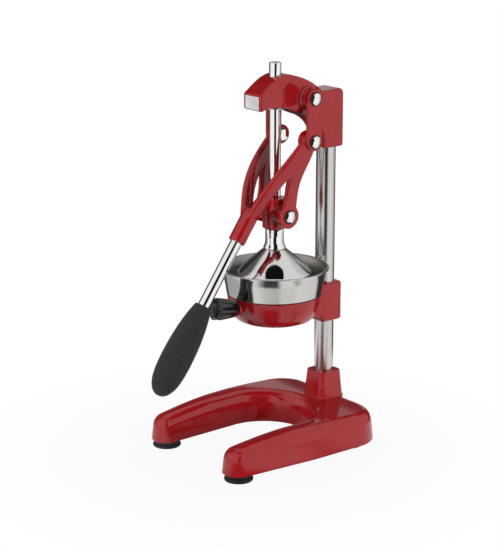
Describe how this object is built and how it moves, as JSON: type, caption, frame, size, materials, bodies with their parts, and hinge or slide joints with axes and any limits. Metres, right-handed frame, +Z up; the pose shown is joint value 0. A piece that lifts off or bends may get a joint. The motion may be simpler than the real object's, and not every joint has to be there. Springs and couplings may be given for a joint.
{
  "type": "lever citrus press",
  "caption": "Freestanding lever citrus press: red enamelled frame, chromed column, linked lever handle, plunger cone, strainer bowl and clamped cup holder.",
  "frame": {"origin": "centre of the bounding box at the floor (undersides of the feet)", "axes": "+Z up along the plunger and column, -Y to the front where the handle points, +X to the right side"},
  "size_m": [0.205, 0.2972, 0.498],
  "materials": {
    "enamel": "glossy red enamel",
    "chrome": "mirror chrome",
    "polished": "satin polished stainless",
    "steel": "plain stainless",
    "zinc": "zinc plated",
    "rubber": "matt black rubber",
    "foam": "fine grained black foam",
    "plastic": "black moulded plastic",
    "badge": "bare satin plate",
    "ring": "dark plain washer"
  },
  "bodies": {
    "frame": {"base_casting": "enamel", "foot_front_left": "rubber", "foot_front_right": "rubber", "foot_rear_left": "rubber", "foot_rear_right": "rubber", "foot_screw_front_left": "zinc", "foot_screw_front_right": "zinc", "foot_screw_rear_left": "zinc", "foot_screw_rear_right": "zinc", "column": "chrome", "column_washer": "zinc", "column_bolt": "zinc", "head_casting": "enamel", "head_set_screw": "chrome", "head_badge": "badge", "guide_bush": "steel", "holder_casting": "enamel", "holder_set_screw": "chrome", "strainer_bowl": "polished", "reamer_cone": "polished", "knob_stem": "steel"},
    "links": {"link_left": "enamel", "link_right": "enamel", "pivot_upper_pin": "chrome", "pivot_upper_head_left": "chrome", "pivot_upper_head_right": "chrome", "pivot_upper_washer_left": "ring", "pivot_upper_washer_right": "ring"},
    "lever": {"pivot_middle_bolt_left": "chrome", "pivot_middle_bolt_right": "chrome", "pivot_middle_nut_left": "chrome", "pivot_middle_nut_right": "chrome", "pivot_middle_washer_left": "ring", "pivot_middle_washer_right": "ring", "lever_yoke": "enamel", "rod_set_screw": "chrome", "handle_rod": "chrome", "handle_grip": "foam"},
    "plunger": {"plunger_bracket": "enamel", "plunger_shaft": "chrome", "press_neck": "chrome", "press_cone": "polished", "cone_screw": "steel", "pivot_lower_pin": "chrome", "pivot_lower_head_left": "chrome", "pivot_lower_head_right": "chrome", "pivot_lower_washer_left": "ring", "pivot_lower_washer_right": "ring"},
    "knob": {"knob": "plastic"}
  },
  "joints": [
    {"name": "link_swing", "type": "hinge", "parent": "frame", "child": "links", "pos_m": [0, 0.07162, 0.4545], "axis": [1, 0, 0], "range_deg": [0, 60]},
    {"name": "lever_turn", "type": "hinge", "parent": "links", "child": "lever", "pos_m": [0, 0.07162, 0.4005], "axis": [1, 0, 0], "range_deg": [-95, 0]},
    {"name": "plunger_follow", "type": "hinge", "parent": "lever", "child": "plunger", "pos_m": [0, 0.04162, 0.307], "axis": [1, 0, 0], "range_deg": [0, 35]},
    {"name": "knob_turn", "type": "hinge", "parent": "frame", "child": "knob", "pos_m": [0, -0.01838, 0.192], "axis": [0, -0.9903, 0.1392], "range_deg": [-180, 180]}
  ],
  "couplings": [
    {"joint": "lever_turn", "follows": "link_swing", "ratio": -1.5724},
    {"joint": "plunger_follow", "follows": "link_swing", "ratio": 0.5724}
  ]
}
